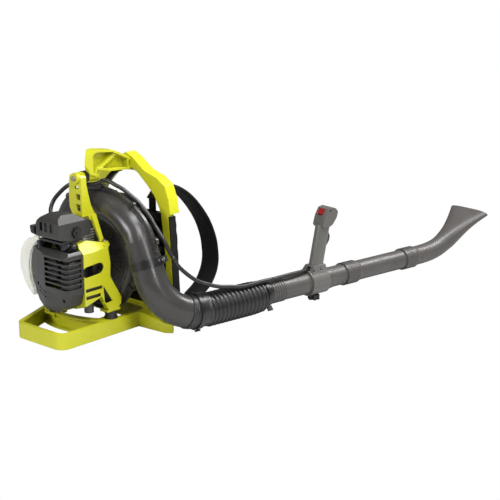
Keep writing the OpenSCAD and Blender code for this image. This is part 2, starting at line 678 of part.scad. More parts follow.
module filter_end_2d(t) {
  offset(delta = -t) polygon([[-57, 255 - 20 * t], [-57, 306], [-44, 316], [-34, 324], [10, 324], [22, 314],
    [30, 300], [30, 255 - 20 * t]]);
}
module filter_cover() color([0.42, 0.41, 0.39]) difference() {
  intersection() {
    along_y(-70, 50) filter_side_2d(0);
    along_x(-95, 12) filter_end_2d(0);
  }
  intersection() {
    along_y(-70, 50) union() {
      filter_side_2d(3);
      translate([-89, 250]) square([95, 36]);
    }
    along_x(-89, 7) filter_end_2d(3);
  }
  translate([-14, -38, 240]) cube([34, 80, 44]);
  rod_y(17, -14, 45, 291, 11);
  for (y = [-27, -7, 11]) translate([-100, y - 5, 283]) cube([20, 10, 22]);
  rod_y(-39, -80, -55.6, 279, 16);
  rod_y(-39, -60, -50, 279, 2.3);
}
module filter_knob() color([0.10, 0.10, 0.10]) {
  rod_y(-39, -63, -57.3, 279, 11);
  for (a = [0:60:300]) translate([-39, 0, 279]) rotate([0, a, 0]) rod_y(10, -63, -57.3, 0, 3);
  rod_y(-39, -66, -63, 279, 5);
  rod_y(-39, -66, -46, 279, 2);
}

// moving engine parts
module crankshaft() color([0.60, 0.60, 0.62]) {
  rod_x(-62, 11, 0, axis_z, 8.95);
  rod_x(23, 128, 0, axis_z, 8.95);
  rod_x(5, 11, 0, axis_z, 26);
  rod_x(23, 29, 0, axis_z, 26);
  rod_x(10, 24, 15, axis_z, 6);
}
module flywheel() color([0.50, 0.50, 0.51]) difference() {
  union() {
    rod_x(-60, -56, 0, axis_z, 46);
    rod_x(-60, -40, 0, axis_z, 14);
    for (a = [0:30:330]) translate([0, 0, axis_z]) rotate([a, 0, 0]) translate([-57, 24, -1.5]) cube([14, 21, 3]);
  }
  rod_x(-70, -30, 0, axis_z, 9);
}
module impeller() color([0.22, 0.22, 0.22]) difference() {
  union() {
    rod_x(96, 99, 0, axis_z, 84);
    rod_x(96, 122, 0, axis_z, 15);
    for (a = [0:30:330]) translate([0, 0, axis_z]) rotate([a, 0, 0]) translate([98.5, 36, 8]) rotate([22, 0, 0])
      cube([21, 42, 2.5]);
  }
  rod_x(90, 130, 0, axis_z, 9);
}
module piston() color([0.75, 0.75, 0.76]) difference() {
  rod_z(17, 0, 234, 258, 17);
  rod_z(17, 0, 230, 252, 13.5);
  rod_y(17, -20, 20, 245, 4);
  for (z = [253.5, 256]) difference() {
    rod_z(17, 0, z, z + 1, 20);
    rod_z(17, 0, z - 1, z + 2, 16.2);
  }
}
module connecting_rod() color([0.65, 0.65, 0.67]) {
  rod_y(17, -16, 16, 245, 3.98);
  difference() {
    along_x(13, 21) hull() {
      translate([0, 245]) circle(r = 7);
      translate([0, 232]) circle(r = 6);
    }
    translate([10, -3, 220]) cube([14, 6, 13]);
  }
}
module starter_pulley() color([0.20, 0.20, 0.21]) difference() {
  union() {
    rod_x(-79, -76, 0, axis_z, pulley_r + 4);
    rod_x(-77, -69, 0, axis_z, pulley_r - 2);
    rod_x(-70, -67, 0, axis_z, pulley_r + 4);
    for (a = [0:120:240]) translate([-67.5, 0, axis_z]) rotate([a, 0, 0]) translate([0, 10, -3]) cube([4, 12, 6]);
  }
  rod_x(-90, -60, 0, axis_z, 6.05);
}
module starter_rope() color([0.85, 0.83, 0.78]) {
  translate([-73, 42.3, 252]) rotate([-11, 0, 0]) cylinder(h = 10.5, r = 2);
}
module starter_handle() color([0.10, 0.10, 0.10]) translate([-73, 44.4, 263]) rotate([-11, 0, 0]) difference() {
  union() {
    hull() {
      cylinder(h = 6, r = 5);
      translate([-15, -6, 8]) cube([30, 12, 4]);
    }
    along_x(-17, 17) soft(5) translate([-7, 9]) square([14, 20]);
  }
  translate([0, 0, -1]) cylinder(h = 9, r = 2.2);
}

// ---- fuel ----
module tank_2d(t) {
  offset(delta = -t) soft(6) difference() {
    polygon([[58, 253], [84, 252], [108, 242], [128, 227], [140, 206], [145, 180], [143, 156], [136, 138],
      [124, 116], [99, 92], [86, 100], [86, 130]]);
    translate([15, 165]) circle(r = 90, $fn = 72);
  }
}
module fuel_tank() color([0.90, 0.90, 0.86]) difference() {
  union() {
    along_x(-54, 16) tank_2d(0);
    along_x(-58, 20) tank_2d(4);
    rod_z(8, 122, 226, 250, 15);
    translate([-12, 82, 168]) cube([20, 24, 10]);
  }
  along_x(-51, 13) tank_2d(3);
  rod_z(8, 122, 220, 256, 11.5);
}
module fuel_cap() color([0.10, 0.10, 0.10]) difference() {
  union() {
    rod_z(8, 122, 246, 262, 19);
    for (a = [0:45:315]) translate([8, 122, 246]) rotate([0, 0, a]) translate([18, -3, 0]) cube([4, 6, 14]);
  }
  rod_z(8, 122, 240, 256, 15.3);
}
module fuel_line() color([0.80, 0.70, 0.30]) {
  loft(cord_loops(spline([[-28, 15.5, 234], [-29, 28, 230], [-29.5, 44, 225], [-29.5, 58, 224.5],
    [-29, 68, 226], [-29, 75, 227.5]], 3), 2.6, 8));
}

// ---- elbow, hose and tubes ----
module tube_ring(r_in, r_out) {
  difference() {
    circle(r = r_out, $fn = 72);
    circle(r = r_in, $fn = 72);
  }
}
module elbow() color([0.30, 0.29, 0.28]) at_outlet() rotate([0, 0, -yaw]) union() {
  translate([0, 0, -neck]) linear_extrude(height = neck - 0.3) tube_ring(elbow_r - 3, elbow_r);
  translate([bend_r, 0, -neck]) rotate([90, 0, 0]) rotate([0, 0, 180])
    rotate_extrude(angle = bend, $fn = 96) translate([bend_r, 0]) tube_ring(elbow_r - 3, elbow_r);
  translate([bend_r * (1 - cos(bend)), 0, -neck - bend_r * sin(bend)]) rotate([0, 90 + drop, 0])
    translate([0, 0, -0.4]) linear_extrude(height = cuff + 0.4) tube_ring(elbow_r - 3.2, elbow_r + 0.2);
}
pitch = (hose_end - 8) / ribs;
sag = 4;
function hose_r(k) = 39.3 - (k > 10 ? [0.6, 1.7, 3.2][k - 11] : 0);
function hose_out(k) = let (s = 8 + k * pitch, v = hose_r(k), c = v + 5.2)
  [[s, v], [s + 0.18 * pitch, v], [s + 0.36 * pitch, c], [s + 0.80 * pitch, c], [s + 0.98 * pitch, v]];
function hose_in(k) = let (s = 8 + k * pitch, v = hose_r(k) - 1.6, c = v + 5.2)
  [[s, v], [s + 0.22 * pitch, v], [s + 0.42 * pitch, c], [s + 0.74 * pitch, c], [s + 0.94 * pitch, v]];
// the sleeve follows the elbow's bend, then the ribs hang sag mm low and end in a plate around the front sleeve
module bellows() color([0.16, 0.16, 0.16]) difference() {
  union() {
    at_outlet() rotate([0, 0, -yaw]) translate([bend_r, 0, -neck]) rotate([90, 0, 0]) rotate([0, 0, 180 + bend - 17.2])
      rotate_extrude(angle = 17.2, $fn = 96) translate([bend_r, 0]) tube_ring(elbow_r + 0.3, 44.8);
    pipe(-18.4, 8, elbow_r + 0.45, 45);
    translate([0, 0, -sag]) turned(concat(
      [[6, 37.5], [6, 39.3]],
      [for (k = [0:ribs - 1]) each hose_out(k)],
      [[hose_end, 36.1], [hose_end, 27], [hose_end - 3, 27]],
      [for (k = [ribs - 1:-1:0]) each rev(hose_in(k))]));
    turned([[4, 33], [4, 45], [8.2, 45], [8.2, 33]]);
    pipe(hose_end - 4, 222, 30.3, 33.2);
  }
  pipe(hose_end - 8, hose_end + 1, 0, 30.3);
  translate([0, 0, -sag]) pipe(3, 9, 0, 37.4);
}
module clamp_band(s0, r) {
  pipe(s0, s0 + 10, r, r + 2.2);
}
module clamp_lug(s, r, a) {
  at_hose() rotate([a, 0, 0]) translate([s + 1, -3, -r - 9]) difference() {
    cube([8, 6, 9]);
    translate([-1, -0.9, -1]) cube([10, 1.8, 8]);
    translate([4, -1, 4]) rotate([-90, 0, 0]) cylinder(h = 8, r = 2.05);
  }
}
module hose_clamp_rear() color([0.20, 0.20, 0.20]) {
  at_outlet() rotate([0, 0, -yaw]) translate([bend_r, 0, -neck]) rotate([90, 0, 0]) rotate([0, 0, 180 + bend - 6.4])
    rotate_extrude(angle = 5.6, $fn = 96) translate([bend_r, 0]) tube_ring(45, 47.2);
  at_hose() for (y = [0, 6]) translate([-28.5, y, -50.8]) cube([8, 4, 5]);
}
module hose_clamp_front() color([0.20, 0.20, 0.20]) {
  clamp_band(200, 33.5);
}
// butterfly-headed screw standing on the band, r = band's outer radius, a = angle from straight down
module wing_screw(s, r, a, h) {
  at_hose() rotate([a, 0, 0]) translate([s, 0, -r - 0.05]) rotate([180, 0, 0]) {
    cylinder(h = h - 2, r = 4);
    translate([-8, -2, 1]) cube([16, 4, h - 1]);
  }
}
module wing_screw_rear() color([0.10, 0.10, 0.10]) wing_screw(-24.5, 47.15, -14, 5.5);
module wing_screw_front() color([0.10, 0.10, 0.10]) wing_screw(205, 35.75, -42, 15);

module tube_1() color([0.30, 0.29, 0.28])
  turned(concat(
    [[188, 27.5], [188, 30], [230, 30]],
    [for (k = [0:4]) each [[231 + 8 * k, 30], [232.5 + 8 * k, 31.8], [235.5 + 8 * k, 31.8], [237 + 8 * k, 30]]],
    [[446, 30], [454, 28.5], [546, 28.5], [546, 26], [454, 26], [446, 27.5]]));
module socket(s, r) {
  turned(concat(
    [[s, r + gap], [s, r + 4], [s + 4, r + 4], [s + 5, r + 2.6], [s + 8, r + 2.6]],
    [for (k = [0:4]) each [[s + 9 + 8 * k, r + 2.6], [s + 10.5 + 8 * k, r + 4], [s + 13.5 + 8 * k, r + 4],
      [s + 15 + 8 * k, r + 2.6]]],
    [[s + 50, r + 2.6], [s + 56, 28], [s + 60, 28], [s + 60, 25.5], [s + 52, 25.5], [s + 47, r + gap]]));
}
module tube_2() color([0.30, 0.29, 0.28]) union() {
  socket(joint_1, 28.5);
  pipe(joint_1 + 59, joint_2 + 45, 25.5, 28);
}
mouth = [[0, 0, 28, 28], [35, 0.5, 28, 28], [70, 3, 28, 28], [100, 9, 28.5, 27.5], [125, 18, 29.5, 27],
  [150, 31, 32, 26], [175, 48, 37, 23], [200, 67, 46, 19.5], [225, 85, 58, 15.5], [250, 101, 71, 12]];
function mouth_loop(i, off) = let (
  m = spline(mouth, 2), p = m[i], q = m[min(i + 1, len(m) - 1)], o = m[max(i - 1, 0)],
  d = unit([q[0] - o[0], q[1] - o[1]]), n = 28, e = 1 - 0.45 * clamp01((i - 8) / 10))
  [for (k = [0:n - 1]) let (c = cos(360 * k / n), s = -sin(360 * k / n),
    y = sign(c) * pow(abs(c), e) * (p[2] - off), z = sign(s) * pow(abs(s), i > 8 ? 0.9 : 1) * (p[3] - off))
    [p[0] - d[1] * z, y, p[1] + d[0] * z]];
module nozzle() color([0.30, 0.29, 0.28]) union() {
  socket(joint_2, 28);
  at_hose() translate([joint_2 + 56, 0, 0]) difference() {
    loft([for (i = [0:18]) mouth_loop(i, 0)]);
    loft([for (i = [0:18]) let (l = mouth_loop(i, 2.5)) i == 0 ? [for (v = l) v - [0.5, 0, 0]]
      : i == 18 ? [for (v = l) v + [0.8, 0, 0.6]] : l]);
  }
}

// ---- control handle ----
module stalk_2d(g) {
  offset(delta = g) hull() {
    translate([-5, 0]) circle(r = 13);
    translate([5, 0]) circle(r = 13);
  }
}
module head_2d() {
  soft(5) polygon([[12, 158], [16, 172], [20, 184], [32, 203], [47, 206], [60, 201], [69, 191], [65, 176],
    [50, 157], [34, 150], [18, 150]]);
}
module grip_body() {
  union() {
    translate([handle_s, 0, 0]) rotate([0, 90, 0]) translate([0, 0, -31]) cylinder(h = 62, r = 36, $fn = 72);
    translate([handle_s, 0, 0]) hull() {
      translate([-29, -26, 22]) cube([58, 52, 2]);
      translate([-17, -17, 42]) cube([44, 34, 6]);
    }
    translate([handle_s + 4, 0, 36]) rotate([0, 12.4, 0]) linear_extrude(height = 122) stalk_2d(3);
    translate([handle_s, 0, 0]) along_y(-20, 20) head_2d();
  }
}
module grip_cut() {
  translate([handle_s, 0, 0]) rotate([0, 90, 0]) translate([0, 0, -40]) cylinder(h = 80, r = 30 + gap, $fn = 72);
  translate([handle_s + 4.4, 0, 38]) rotate([0, 12.4, 0]) linear_extrude(height = 118) stalk_2d(0);
  translate([handle_s, 0, 0]) along_y(-17, 17) offset(delta = -3) head_2d();
  translate([handle_s + 19, 0, 92]) rotate([0, 12.4, 0]) {
    translate([0, -6, -6]) cube([24, 12, 58]);
    rod_y(2, -9.5, 9.5, 43, 2.1);
  }
  translate([handle_s + 26, 0, 193]) rotate([0, -57.6, 0]) translate([-9.4, -9, -6]) cube([18.8, 18, 12]);
  for (s = [-24, 3]) translate([handle_s + s, -34, 34]) cube([6, 15.5, 7]);
  translate([handle_s - 34, -7, 31]) cube([24, 14, 14]);
  translate([handle_s + 40, 0, 0]) rod_y(0, -21, -16, 197, 2.6);
  translate([handle_s, 0, -50]) cylinder(h = 30, r = 4.05);
}
module grip_halves() color([0.45, 0.44, 0.41]) at_hose() {
  for (s = [-1, 1]) difference() {
    grip_body();
    grip_cut();
    translate([300, s > 0 ? -100 : -0.05, -100]) cube([300, s > 0 ? 100.05 : 100, 400]);
  }
}
module handle_knob() color([0.08, 0.08, 0.08]) at_hose() translate([handle_s, 0, 0]) {
  rod_z(0, 0, -40, -31, 4);
  rod_z(0, 0, -51, -36.4, 12);
  for (a = [0:60:300]) rotate([0, 0, a]) translate([12, 0, -51]) cylinder(h = 14, r = 5);
}
module trigger() color([0.09, 0.09, 0.09]) at_hose() translate([handle_s + 19, 0, 92]) rotate([0, 12.4, 0]) {
  difference() {
    union() {
      along_y(-5.5, 5.5) polygon([[-6, 6], [0, 4], [14, 6], [22, 12], [27, 24], [27, 36], [20, 46], [4, 49], [-4, 47]]);
      rod_y(2, -9, 9, 43, 2);
    }
    along_y(-3.5, 3.5) polygon([[-8, 10], [8, 12], [15, 20], [17, 32], [9, 39], [-8, 40]]);
  }
}
module rocker_switch() color([0.72, 0.10, 0.10]) at_hose() translate([handle_s + 26, 0, 193])
  rotate([0, -57.6, 0]) {
  difference() {
    along_y(-8.6, 8.6) polygon([[-8, 5], [-8.5, 0], [-4, -4], [4, -4], [8.5, 0], [8, 6], [3.5, 5], [-3.5, 4.4]]);
    translate([0, 0, 0]) rod_y(0, -20, 20, 0, 1.6);
  }
}

// ---- throttle loom, made in the pieces that move against one another ----
loom_a = [[-22, 44, 234], [-20, 44, 256], [-12, 53, 276], [-2, 74, 290], [7, 92, 305], [18, 92, 328],
  [26, 73, 352], [34, 50, 371], [48, 30, 378], [62, 14, 374], [74, 2, 374], [84, -6, 377], [93, -12, 382],
  [100, -24, 382], [106, -45, 373], [114, -62, 364], [122, -82, 349], [130, -106, 330], [133, -132, 306],
  [134, -154, 280], [137, -177, 252], [144, -188, 226], [151, -196, 204]];
loom_b = [[151.5, -196.7, 202], [161, -207, 180], [176, -217, 161], [196, -226, 142.5], [214, -232.5, 131]];
loom_c = [[215.5, -233, 130.2], [232.5, -238.8, 123], [257.4, -241.6, 113], [282.1, -245.4, 106],
  [306.7, -250.1, 101.5], [329.8, -256.7, 97], [355.4, -261.6, 95.4], [375.2, -264.1, 95.3], [418.5, -266.2, 94.6],
  [452, -269.5, 93.2]];
loom_d = [[453.5, -269.7, 93.1], [484, -273, 93], [515, -276.9, 93.5],
  [555, -280, 92.5], [577.4, -279.3, 92], [593.8, -277.8, 91.5]];
module loom(p) {
  loft(cord_loops(spline(p, 3), 5.2, 10));
}
module loom_engine() color([0.07, 0.07, 0.07]) loom(loom_a);
module loom_elbow() color([0.07, 0.07, 0.07]) loom(loom_b);
module loom_hose() color([0.07, 0.07, 0.07]) loom(loom_c);
module loom_tube() color([0.07, 0.07, 0.07]) loom(loom_d);

base_frame();
back_frame();
rubber_isolators();
frame_bolts();
back_panel();
back_pad();
lumbar_pad();
shoulder_straps();
webbing();
buckles();
arm();
volute_rear();
volute_front();
intake_grille();
volute_bolts();
outlet_collar();
collar_screw();
shroud();
starter_cover();
cover_screws();
ignition_coil();
crankcase();
cylinder_block();
spark_plug();
muffler();
carburettor();
throttle_lever();
choke_lever();
primer_bulb();
filter_element();
filter_cover();
filter_knob();
crankshaft();
flywheel();
impeller();
piston();
connecting_rod();
starter_pulley();
starter_rope();
starter_handle();
fuel_tank();
fuel_cap();
fuel_line();
elbow();
bellows();
hose_clamp_rear();
wing_screw_rear();
hose_clamp_front();
wing_screw_front();
tube_1();
tube_2();
nozzle();
grip_halves();
handle_knob();
trigger();
rocker_switch();
loom_engine();
loom_elbow();
loom_hose();
loom_tube();
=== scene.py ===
"""Looks of the backpack leaf blower.

Points and lengths of the pieces are in mm, and make() and metres() turn them into metres. Depths and edges of
materials, lamps and the camera are in metres.
"""
import math

import bpy
import numpy as np
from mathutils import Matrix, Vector


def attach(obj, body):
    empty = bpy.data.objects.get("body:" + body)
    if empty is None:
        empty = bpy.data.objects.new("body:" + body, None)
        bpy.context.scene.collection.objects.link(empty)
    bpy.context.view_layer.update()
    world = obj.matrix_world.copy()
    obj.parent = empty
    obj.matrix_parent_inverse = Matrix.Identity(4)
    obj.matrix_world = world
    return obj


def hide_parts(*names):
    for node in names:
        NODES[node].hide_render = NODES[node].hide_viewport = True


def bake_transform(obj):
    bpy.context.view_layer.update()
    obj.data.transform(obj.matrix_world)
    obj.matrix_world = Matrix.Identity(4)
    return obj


MM = 0.001
TURN = 2 * math.pi

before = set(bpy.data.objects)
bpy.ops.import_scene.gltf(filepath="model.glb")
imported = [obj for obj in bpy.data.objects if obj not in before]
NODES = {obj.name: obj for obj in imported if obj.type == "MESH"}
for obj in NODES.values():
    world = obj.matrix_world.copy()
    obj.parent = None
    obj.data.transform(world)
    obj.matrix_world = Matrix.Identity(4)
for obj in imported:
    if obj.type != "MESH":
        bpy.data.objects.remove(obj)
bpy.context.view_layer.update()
SCENE = bpy.context.scene

# ---------------------------------------------------------------- materials

NOISE_LOW, NOISE_HIGH = 0.3, 0.7
GRAIN_DEPTH = 0.0003


def shader(name):
    """New material, its node tree, its Principled shader and its Object coordinates."""
    material = bpy.data.materials.new(name)
    material.use_nodes = True
    tree = material.node_tree
    surface = tree.nodes["Principled BSDF"]
    coordinates = tree.nodes.new("ShaderNodeTexCoord")
    return material, tree, surface, coordinates.outputs["Object"]


def noise(tree, place, scale, detail=3.0):
    """Noise over the place, between 0 and 1."""
    node = tree.nodes.new("ShaderNodeTexNoise")
    node.inputs["Scale"].default_value = scale
    node.inputs["Detail"].default_value = detail
    tree.links.new(place, node.inputs["Vector"])
    return node.outputs["Fac"]


def blend_colours(tree, factor, low, dark, high, light):
    """Colour that goes from dark at the factor low to light at the factor high."""
    node = tree.nodes.new("ShaderNodeValToRGB")
    first, last = node.color_ramp.elements
    first.position, first.color = low, (*dark, 1)
    last.position, last.color = high, (*light, 1)
    tree.links.new(factor, node.inputs["Fac"])
    return node.outputs["Color"]


def span(tree, factor, low, high):
    """Number that drifts between low and high with a noise."""
    node = tree.nodes.new("ShaderNodeMapRange")
    node.inputs["From Min"].default_value = NOISE_LOW
    node.inputs["From Max"].default_value = NOISE_HIGH
    node.inputs["To Min"].default_value = low
    node.inputs["To Max"].default_value = high
    tree.links.new(factor, node.inputs["Value"])
    return node.outputs["Result"]


def bump(tree, surface, height, strength, depth, round_edges=0.0):
    """Bump of depth metres on the Principled shader, on top of edges rounded by round_edges metres."""
    node = tree.nodes.new("ShaderNodeBump")
    node.inputs["Strength"].default_value = strength
    node.inputs["Distance"].default_value = depth
    tree.links.new(height, node.inputs["Height"])
    if round_edges:
        edges = tree.nodes.new("ShaderNodeBevel")
        edges.samples = 4
        edges.inputs["Radius"].default_value = round_edges
        tree.links.new(edges.outputs["Normal"], node.inputs["Normal"])
    tree.links.new(node.outputs["Normal"], surface.inputs["Normal"])


def plastic(name, dark, light, rough, edge=0.0008, grain=0.25, coat=0.0, grain_scale=900.0):
    """Moulded plastic: colour drifts between dark and light, with a fine moulded grain and rounded edges."""
    material, tree, surface, place = shader(name)
    drift = noise(tree, place, 9.0)
    colour = blend_colours(tree, drift, NOISE_LOW, dark, NOISE_HIGH, light)
    tree.links.new(colour, surface.inputs["Base Color"])
    wear = noise(tree, place, 30.0)
    tree.links.new(span(tree, wear, rough - 0.05, rough + 0.05), surface.inputs["Roughness"])
    surface.inputs["Coat Weight"].default_value = coat
    surface.inputs["Coat Roughness"].default_value = 0.12
    bump(tree, surface, noise(tree, place, grain_scale, 2.0), grain, GRAIN_DEPTH, edge)
    return material


def metal(name, colour, rough):
    """Bare metal with faint machining streaks."""
    material, tree, surface, place = shader(name)
    surface.inputs["Base Color"].default_value = (*colour, 1)
    surface.inputs["Metallic"].default_value = 1.0
    streaks = noise(tree, place, 140.0, 4.0)
    tree.links.new(span(tree, streaks, rough - 0.06, rough + 0.08), surface.inputs["Roughness"])
    bump(tree, surface, noise(tree, place, 400.0, 2.0), 0.15, 0.0002, 0.0005)
    return material


def woven(name, dark, light, scale, depth, slant=0.0):
    """Woven cloth: two crossed wave bands multiplied make the threads."""
    material, tree, surface, place = shader(name)
    turned = tree.nodes.new("ShaderNodeMapping")
    turned.inputs["Rotation"].default_value = (slant, slant * 0.7, slant)
    tree.links.new(place, turned.inputs["Vector"])
    threads = tree.nodes.new("ShaderNodeMath")
    threads.operation = "MULTIPLY"
    for k, axis in enumerate(("Y", "Z")):
        wave = tree.nodes.new("ShaderNodeTexWave")
        wave.bands_direction = axis
        wave.inputs["Scale"].default_value = scale
        wave.inputs["Distortion"].default_value = 0.4
        wave.inputs["Detail Scale"].default_value = 2.0
        tree.links.new(turned.outputs["Vector"], wave.inputs["Vector"])
        tree.links.new(wave.outputs["Fac"], threads.inputs[k])
    weave = threads.outputs["Value"]
    tree.links.new(blend_colours(tree, weave, 0.1, dark, 0.8, light), surface.inputs["Base Color"])
    surface.inputs["Roughness"].default_value = 0.85
    surface.inputs["Specular IOR Level"].default_value = 0.18
    surface.inputs["Sheen Weight"].default_value = 0.04
    surface.inputs["Sheen Roughness"].default_value = 0.5
    bump(tree, surface, weave, 0.6, depth)
    return material


def bound(material, half_width, colour):
    """The same cloth with an edge binding of one colour past half_width metres from the middle plane."""
    tree = material.node_tree
    base = tree.nodes["Principled BSDF"].inputs["Base Color"]
    cloth = base.links[0].from_socket
    coordinates = next(n for n in tree.nodes if n.bl_idname == "ShaderNodeTexCoord")
    axes = tree.nodes.new("ShaderNodeSeparateXYZ")
    tree.links.new(coordinates.outputs["Object"], axes.inputs[0])
    distance = tree.nodes.new("ShaderNodeMath")
    distance.operation = "ABSOLUTE"
    tree.links.new(axes.outputs["Y"], distance.inputs[0])
    past = tree.nodes.new("ShaderNodeMath")
    past.operation = "GREATER_THAN"
    past.inputs[1].default_value = half_width
    tree.links.new(distance.outputs[0], past.inputs[0])
    mixed = tree.nodes.new("ShaderNodeMixRGB")
    mixed.inputs["Color2"].default_value = (*colour, 1)
    tree.links.new(past.outputs[0], mixed.inputs["Fac"])
    tree.links.new(cloth, mixed.inputs["Color1"])
    tree.links.new(mixed.outputs["Color"], base)
    return material


def milky(name):
    """Translucent moulded tank, lit through, a little yellow where the wall is thick."""
    material, tree, surface, place = shader(name)
    drift = noise(tree, place, 12.0)
    colour = blend_colours(tree, drift, NOISE_LOW, (0.78, 0.76, 0.66), NOISE_HIGH, (0.88, 0.87, 0.80))
    tree.links.new(colour, surface.inputs["Base Color"])
    surface.inputs["Subsurface Weight"].default_value = 0.6
    surface.inputs["Subsurface Radius"].default_value = (1.0, 0.9, 0.6)
    surface.inputs["Subsurface Scale"].default_value = 0.012
    surface.inputs["Roughness"].default_value = 0.38
    bump(tree, surface, noise(tree, place, 500.0, 2.0), 0.15, GRAIN_DEPTH, 0.0025)
    return material


MAT = {
    "lime_plastic": plastic("lime_plastic", (0.525, 0.525, 0.014), (0.575, 0.572, 0.020), 0.30, 0.0018, 0.12,
                            coat=0.15),
    "charcoal_plastic": plastic("charcoal_plastic", (0.036, 0.034, 0.033), (0.044, 0.041, 0.040), 0.29, 0.0012,
                                0.04),
    "grey_plastic": plastic("grey_plastic", (0.098, 0.094, 0.087), (0.115, 0.110, 0.102), 0.36, 0.0012, 0.35),
    "black_plastic": plastic("black_plastic", (0.009, 0.009, 0.009), (0.014, 0.014, 0.014), 0.32, 0.0009),
    "black_fabric": woven("black_fabric", (0.003, 0.003, 0.003), (0.012, 0.012, 0.012), 260.0, 0.0004),
    "rubber": plastic("rubber", (0.012, 0.012, 0.012), (0.017, 0.017, 0.017), 0.34, 0.0008, 0.4),
    "tank_plastic": milky("tank_plastic"),
    "aluminium": metal("aluminium", (0.62, 0.62, 0.62), 0.42),
    "steel": metal("steel", (0.45, 0.45, 0.46), 0.36),
    "chrome": metal("chrome", (0.85, 0.85, 0.86), 0.14),
    "red_plastic": plastic("red_plastic", (0.25, 0.008, 0.007), (0.30, 0.010, 0.008), 0.35, 0.0008, 0.15,
                           coat=0.3),
    "foam": plastic("foam", (0.03, 0.03, 0.03), (0.06, 0.06, 0.06), 0.95, 0.0, 0.9, grain_scale=350.0),
    "rope": woven("rope", (0.30, 0.29, 0.26), (0.62, 0.60, 0.55), 500.0, 0.0004, slant=0.8),
    "fuel_hose": plastic("fuel_hose", (0.55, 0.42, 0.10), (0.62, 0.48, 0.14), 0.3, 0.0, 0.1),
}
SPACER_MESH = woven("spacer_mesh", (0.020, 0.020, 0.021), (0.105, 0.105, 0.110), 120.0, 0.0008)
MESH_CLOTH = bound(SPACER_MESH, 0.1475, (0.006, 0.006, 0.006))
WEBBING = woven("webbing", (0.004, 0.004, 0.004), (0.016, 0.016, 0.016), 420.0, 0.0005)
DARK_STEEL = metal("blackened_steel", (0.10, 0.10, 0.105), 0.40)
TUBE = plastic("tube_plastic", (0.062, 0.057, 0.054), (0.075, 0.069, 0.065), 0.40, 0.0, 0.0)
COVER = plastic("cover_plastic", (0.026, 0.025, 0.024), (0.034, 0.033, 0.031), 0.34, 0.0014, 0.10)

# Nodes whose finish isn't the one of their slot.
FINISH = {
    "back_panel": MESH_CLOTH, "volute_bolts": DARK_STEEL, "muffler": DARK_STEEL, "flywheel": DARK_STEEL,
    "filter_cover": COVER, "starter_cover": COVER, "outlet_collar": MAT["black_plastic"],
    "tube_1": TUBE, "tube_2": TUBE, "nozzle": TUBE,
}

SMOOTH_ANGLE = math.radians(31.0)


def smooth_cad(node):
    """Smooth shading with sharp edges where two faces meet at more than SMOOTH_ANGLE. The mesh's points stay
    as they are: edges are matched by place and marked, and a modifier welds the points."""
    mesh = node.data
    points = np.empty(len(mesh.vertices) * 3)
    mesh.vertices.foreach_get("co", points)
    cells = np.round(points.reshape(-1, 3) * 1e6).astype(np.int64)
    place = np.unique(cells, axis=0, return_inverse=True)[1].reshape(-1)
    ends = np.empty(len(mesh.edges) * 2, np.int64)
    mesh.edges.foreach_get("vertices", ends)
    ends = np.sort(place[ends].reshape(-1, 2), axis=1)
    edge = np.unique(ends, axis=0, return_inverse=True)[1].reshape(-1)
    loop_edge = np.empty(len(mesh.loops), np.int64)
    mesh.loops.foreach_get("edge_index", loop_edge)
    corners = np.empty(len(mesh.polygons), np.int64)
    mesh.polygons.foreach_get("loop_total", corners)
    normals = np.empty(len(mesh.polygons) * 3)
    mesh.polygons.foreach_get("normal", normals)
    face = np.repeat(np.arange(len(corners)), corners)
    used = edge[loop_edge]
    order = np.argsort(used, kind="stable")
    used = used[order]
    facing = normals.reshape(-1, 3)[face[order]]
    shared = used[1:] == used[:-1]
    cosine = (facing[1:] * facing[:-1]).sum(1)
    sharp = np.zeros(edge.max() + 1, bool)
    sharp[used[1:][shared & (cosine < math.cos(SMOOTH_ANGLE))]] = True
    for name in ("custom_normal", "sharp_face"):
        if name in mesh.attributes:
            mesh.attributes.remove(mesh.attributes[name])
    mesh.shade_smooth()
    marks = mesh.attributes.get("sharp_edge") or mesh.attributes.new("sharp_edge", "BOOLEAN", "EDGE")
    marks.data.foreach_set("value", sharp[edge])
    weld = node.modifiers.new("weld", "WELD")
    weld.merge_threshold = 1e-6


for name, node in NODES.items():
    for k, slot in enumerate(node.material_slots):
        if slot.material:
            plain = MAT.get(slot.material.name.split(".")[0], slot.material)
            node.data.materials[k] = FINISH.get(name, plain)
    smooth_cad(node)

# ---------------------------------------------------------------- making pieces


def make(name, verts, faces, mat, body=None, replaces=(), smooth=True):
    """One mesh object from points in mm and faces, riding on a body."""
    mesh = bpy.data.meshes.new(name)
    mesh.from_pydata((np.asarray(verts, float) * MM).tolist(), [], [list(map(int, f)) for f in faces])
    mesh.validate()
    if smooth:
        mesh.shade_smooth()
    mesh.materials.append(mat)
    o = bpy.data.objects.new(name, mesh)
    SCENE.collection.objects.link(o)
    if body:
        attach(o, body)
    if replaces:
        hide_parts(*replaces)
    return o


def grid_faces(rows, n):
    """Faces over rows of n points, each row closed on itself."""
    a = np.arange((rows - 1) * n).reshape(rows - 1, n)
    b = np.roll(a, -1, axis=1)
    return np.stack([a, b, b + n, a + n], axis=-1).reshape(-1, 4).tolist()


def capped(rows):
    """Closed surface over rows of points, with a flat face on the first row and on the last."""
    n = len(rows[0])
    v = np.vstack(rows)
    ends = [list(range(n))[::-1], list(range(len(v) - n, len(v)))]
    return outward(v, grid_faces(len(rows), n) + ends)


def join(parts):
    """One (points, faces) from several."""
    points = []
    faces = []
    count = 0
    for v, f in parts:
        points.append(np.asarray(v, float))
        faces += [[i + count for i in q] for q in f]
        count += len(v)
    return np.vstack(points), faces


def outward(v, f):
    """The same faces, turned if need be so that the closed surface's volume is positive."""
    volume = 0.0
    for q in f:
        for k in range(1, len(q) - 1):
            volume += np.dot(v[q[0]], np.cross(v[q[k]], v[q[k + 1]]))
    return (v, f) if volume > 0 else (v, [q[::-1] for q in f])


